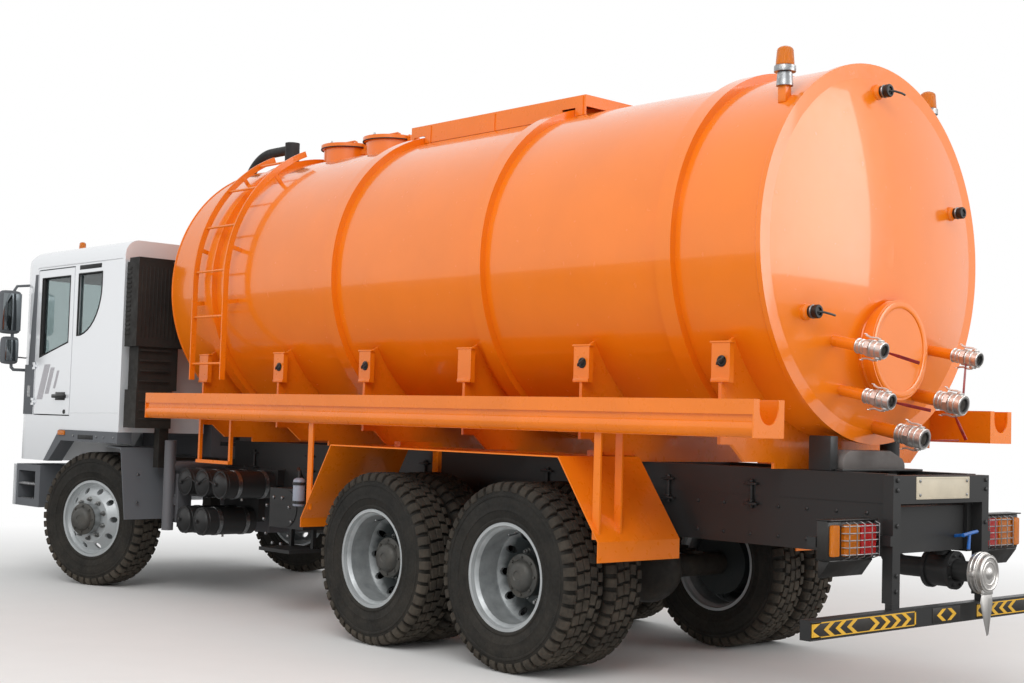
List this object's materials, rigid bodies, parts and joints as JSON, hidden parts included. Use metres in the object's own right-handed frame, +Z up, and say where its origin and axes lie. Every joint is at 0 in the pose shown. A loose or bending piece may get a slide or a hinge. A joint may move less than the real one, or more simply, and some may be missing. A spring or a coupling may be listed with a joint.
{
  "type": "vacuum tanker truck",
  "caption": "Cab-over vacuum tanker truck with a ringed cylindrical tank, hose trays, side ladder, rear outlets, twin rear wheels, tilting cab, opening doors and hatches.",
  "frame": {"origin": "on the ground, in the middle of the truck's length and width", "axes": "+X forwards, +Y to the truck's left, +Z up"},
  "size_m": [8.77, 2.91, 3.605],
  "materials": {
    "chassis_black": "satin",
    "tank_orange": "gloss",
    "cab_white": "gloss",
    "trim_grey": "matte",
    "tyre": "matte",
    "rim_silver": "satin",
    "coupling_alloy": "cast",
    "glass": "clear",
    "seat_cloth": "woven",
    "dash_plastic": "grained",
    "black_rubber": "matte",
    "lamp_lens": "clear",
    "engine_iron": "cast",
    "steel_grey": "satin"
  },
  "bodies": {
    "chassis": {"frame": "chassis_black", "subframe": "chassis_black", "tank_saddles": "tank_orange", "engine": "engine_iron", "axles": "chassis_black", "leaf_springs": "chassis_black", "air_tanks": "chassis_black", "fuel_tank": "steel_grey", "exhaust": "steel_grey", "intake_stack": "trim_grey", "tank": "tank_orange", "walkway": "tank_orange", "manway_cover": "tank_orange", "outlet_pipes": "tank_orange", "couplings": "coupling_alloy", "hose_trays": "tank_orange", "rear_mudguards": "tank_orange", "ladder": "tank_orange", "pump_set": "chassis_black", "vacuum_pipe": "black_rubber", "rear_frame": "chassis_black", "tail_lamps": "lamp_lens", "underrun_bar": "chassis_black", "drain_valve": "chassis_black", "front_bumper": "cab_white", "cab_steps": "trim_grey", "front_mudguards": "trim_grey"},
    "cab": {"cab_shell": "cab_white", "cab_roof": "cab_white", "cab_glass": "glass", "seats": "seat_cloth", "dashboard": "dash_plastic", "mirrors": "trim_grey", "arch_trims": "trim_grey"},
    "left_door": {"left_door": "cab_white", "left_door_glass": "glass"},
    "right_door": {"right_door": "cab_white", "right_door_glass": "glass"},
    "front_hatch_lid": {"front_hatch_lid": "tank_orange"},
    "rear_hatch_lid": {"rear_hatch_lid": "tank_orange"},
    "left_knuckle": {"left_knuckle": "chassis_black"},
    "right_knuckle": {"right_knuckle": "chassis_black"},
    "front_left_wheel": {"front_left_tyre": "tyre", "front_left_rim": "rim_silver"},
    "front_right_wheel": {"front_right_tyre": "tyre", "front_right_rim": "rim_silver"},
    "middle_left_wheel": {"middle_left_tyres": "tyre", "middle_left_rims": "rim_silver"},
    "middle_right_wheel": {"middle_right_tyres": "tyre", "middle_right_rims": "rim_silver"},
    "rear_left_wheel": {"rear_left_tyres": "tyre", "rear_left_rims": "rim_silver"},
    "rear_right_wheel": {"rear_right_tyres": "tyre", "rear_right_rims": "rim_silver"}
  },
  "joints": [
    {"name": "cab_tilt", "type": "hinge", "parent": "chassis", "child": "cab", "pos_m": [4.245, 0, 0.905], "axis": [0, 1, 0], "range_deg": [0, 50]},
    {"name": "left_door_hinge", "type": "hinge", "parent": "cab", "child": "left_door", "pos_m": [3.825, 1.231, 1.48], "axis": [0, 0, -1], "range_deg": [0, 75]},
    {"name": "right_door_hinge", "type": "hinge", "parent": "cab", "child": "right_door", "pos_m": [3.825, -1.231, 1.48], "axis": [0, 0, 1], "range_deg": [0, 75]},
    {"name": "front_hatch_hinge", "type": "hinge", "parent": "chassis", "child": "front_hatch_lid", "pos_m": [0.777, 0, 3.542], "axis": [0, -1, 0], "range_deg": [0, 100]},
    {"name": "rear_hatch_hinge", "type": "hinge", "parent": "chassis", "child": "rear_hatch_lid", "pos_m": [0.237, 0, 3.542], "axis": [0, -1, 0], "range_deg": [0, 100]},
    {"name": "left_steer", "type": "hinge", "parent": "chassis", "child": "left_knuckle", "pos_m": [2.875, 0.88, 0.54], "axis": [0, 0, 1], "range_deg": [-56, 20]},
    {"name": "right_steer", "type": "hinge", "parent": "chassis", "child": "right_knuckle", "pos_m": [2.875, -0.88, 0.54], "axis": [0, 0, 1], "range_deg": [-56, 20]},
    {"name": "front_left_spin", "type": "hinge", "parent": "left_knuckle", "child": "front_left_wheel", "pos_m": [2.81629, 1.0607, 0.54], "axis": [-0.309, 0.9511, 0], "continuous": true},
    {"name": "front_right_spin", "type": "hinge", "parent": "right_knuckle", "child": "front_right_wheel", "pos_m": [2.93371, -1.0607, 0.54], "axis": [-0.309, 0.9511, 0], "continuous": true},
    {"name": "middle_left_spin", "type": "hinge", "parent": "chassis", "child": "middle_left_wheel", "pos_m": [-0.985, 0.935, 0.54], "axis": [0, 1, 0], "continuous": true},
    {"name": "middle_right_spin", "type": "hinge", "parent": "chassis", "child": "middle_right_wheel", "pos_m": [-0.985, -0.935, 0.54], "axis": [0, 1, 0], "continuous": true},
    {"name": "rear_left_spin", "type": "hinge", "parent": "chassis", "child": "rear_left_wheel", "pos_m": [-2.215, 0.935, 0.54], "axis": [0, 1, 0], "continuous": true},
    {"name": "rear_right_spin", "type": "hinge", "parent": "chassis", "child": "rear_right_wheel", "pos_m": [-2.215, -0.935, 0.54], "axis": [0, 1, 0], "continuous": true}
  ],
  "couplings": [
    {"joint": "right_steer", "follows": "left_steer", "ratio": 1}
  ]
}
